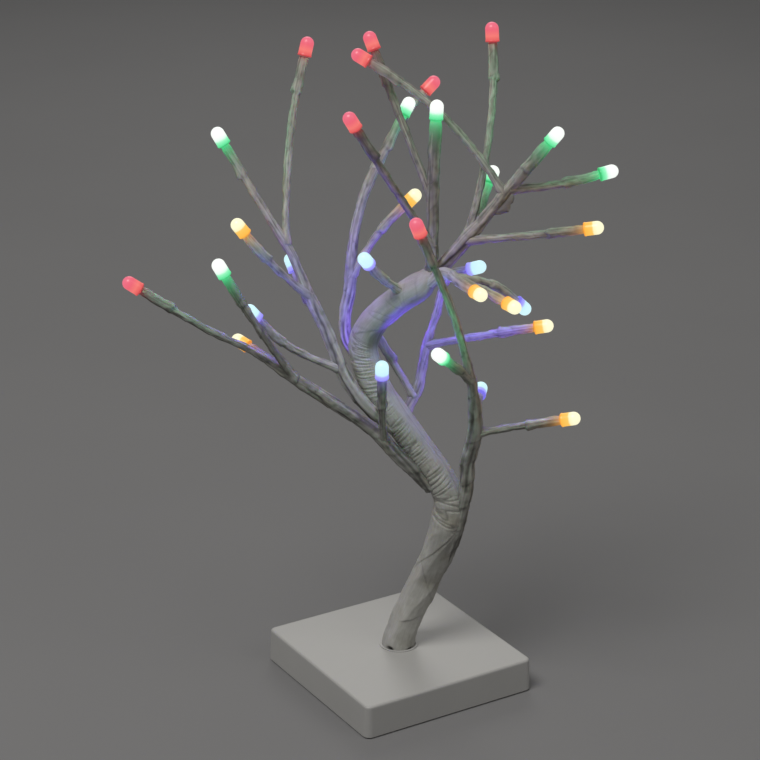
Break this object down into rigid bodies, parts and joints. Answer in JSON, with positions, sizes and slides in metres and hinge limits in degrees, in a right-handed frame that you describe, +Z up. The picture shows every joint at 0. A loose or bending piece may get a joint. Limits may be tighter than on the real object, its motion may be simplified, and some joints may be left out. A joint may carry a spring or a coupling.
{
  "type": "artificial LED bonsai tree",
  "caption": "Table lamp shaped as a bonsai: a bent, paper-wrapped wire tree with coloured LED lamp caps on a square white battery base with a slide switch.",
  "frame": {"origin": "middle of the base plate's underside, on the table", "axes": "+Z up along the tree, +Y towards the rear wall with the switch, +X to the right"},
  "size_m": [0.2929, 0.1746, 0.4377],
  "materials": {
    "base_plastic": "satin",
    "paper_wrap": "matte",
    "tree_wire": "satin",
    "red_cap": "frosted",
    "green_cap": "frosted",
    "amber_cap": "frosted",
    "blue_cap": "frosted",
    "steel": "satin",
    "cell_jacket": "painted",
    "board": "satin",
    "black_plastic": "matte",
    "grey_plastic": "matte",
    "lead": "satin"
  },
  "bodies": {
    "base": {"base_housing": "base_plastic", "base_plate": "base_plastic", "plate_screws": "steel", "battery_cells": "cell_jacket", "battery_springs": "steel", "battery_contacts": "steel", "circuit_board": "board", "board_parts": "black_plastic", "switch_case": "steel", "base_leads": "lead", "trunk_clamp": "grey_plastic", "clamp_screws": "steel", "trunk_core": "tree_wire", "trunk_wrap": "paper_wrap", "trunk_twig_wrap": "paper_wrap", "trunk_twig_wiring": "tree_wire", "trunk_twig_cap": "blue_cap"},
    "battery_door": {"battery_door": "base_plastic"},
    "switch_knob": {"switch_knob": "black_plastic"},
    "right_low": {"right_low_wrap": "paper_wrap", "right_low_wiring": "tree_wire", "right_low_red_caps": "red_cap", "right_low_green_caps": "green_cap", "right_low_amber_caps": "amber_cap", "right_low_blue_caps": "blue_cap"},
    "left_low": {"left_low_wrap": "paper_wrap", "left_low_wiring": "tree_wire", "left_low_red_caps": "red_cap", "left_low_green_caps": "green_cap", "left_low_amber_caps": "amber_cap", "left_low_blue_caps": "blue_cap"},
    "left_mid": {"left_mid_wrap": "paper_wrap", "left_mid_wiring": "tree_wire", "left_mid_red_caps": "red_cap", "left_mid_green_caps": "green_cap", "left_mid_amber_caps": "amber_cap", "left_mid_blue_caps": "blue_cap"},
    "bend_two": {"bend_two_wrap": "paper_wrap", "bend_two_wiring": "tree_wire", "bend_two_red_caps": "red_cap", "bend_two_green_caps": "green_cap", "bend_two_amber_caps": "amber_cap"},
    "crown_left": {"crown_left_wrap": "paper_wrap", "crown_left_wiring": "tree_wire", "crown_left_red_caps": "red_cap", "crown_left_green_caps": "green_cap"},
    "crown_right": {"crown_right_wrap": "paper_wrap", "crown_right_wiring": "tree_wire", "crown_right_red_caps": "red_cap", "crown_right_green_caps": "green_cap", "crown_right_amber_caps": "amber_cap"},
    "crown_front": {"crown_front_wrap": "paper_wrap", "crown_front_wiring": "tree_wire", "crown_front_amber_caps": "amber_cap", "crown_front_blue_caps": "blue_cap"},
    "back": {"back_wrap": "paper_wrap", "back_wiring": "tree_wire", "back_amber_caps": "amber_cap", "back_blue_caps": "blue_cap"}
  },
  "joints": [
    {"name": "battery_door_hinge", "type": "hinge", "parent": "base", "child": "battery_door", "pos_m": [-0.02725, 0, 0.0013], "axis": [0, 1, 0], "range_deg": [0, 90]},
    {"name": "switch_slide", "type": "slide", "parent": "base", "child": "switch_knob", "axis": [1, 0, 0], "range_m": [0, 0.006]},
    {"name": "right_low_bend", "type": "hinge", "parent": "base", "child": "right_low", "pos_m": [0.0324, -0.03207, 0.138], "axis": [0.5299, 0.848, 0], "range_deg": [-15, 15]},
    {"name": "left_low_bend", "type": "hinge", "parent": "base", "child": "left_low", "pos_m": [-0.00795, -0.00812, 0.1661], "axis": [0.5299, 0.848, 0], "range_deg": [-15, 3]},
    {"name": "left_mid_bend", "type": "hinge", "parent": "base", "child": "left_mid", "pos_m": [-0.02693, 0.01034, 0.20544], "axis": [0.848, -0.5299, 0], "range_deg": [-12, 8]},
    {"name": "bend_two_bend", "type": "hinge", "parent": "base", "child": "bend_two", "pos_m": [-0.02551, 0.02966, 0.2412], "axis": [0.5299, 0.848, 0], "range_deg": [-12, 10]},
    {"name": "crown_left_bend", "type": "hinge", "parent": "base", "child": "crown_left", "pos_m": [0.01532, -0.00957, 0.29661], "axis": [0.5299, 0.848, 0], "range_deg": [-10, 10]},
    {"name": "crown_right_bend", "type": "hinge", "parent": "base", "child": "crown_right", "pos_m": [0.02416, -0.00979, 0.29118], "axis": [0.5299, 0.848, 0], "range_deg": [-10, 15]},
    {"name": "crown_front_bend", "type": "hinge", "parent": "base", "child": "crown_front", "pos_m": [0.01733, -0.01826, 0.29046], "axis": [0.5299, 0.848, 0], "range_deg": [-10, 8]},
    {"name": "back_bend", "type": "hinge", "parent": "base", "child": "back", "pos_m": [0.01002, 0.00939, 0.18802], "axis": [0.5299, 0.848, 0], "range_deg": [-10, 10]}
  ]
}
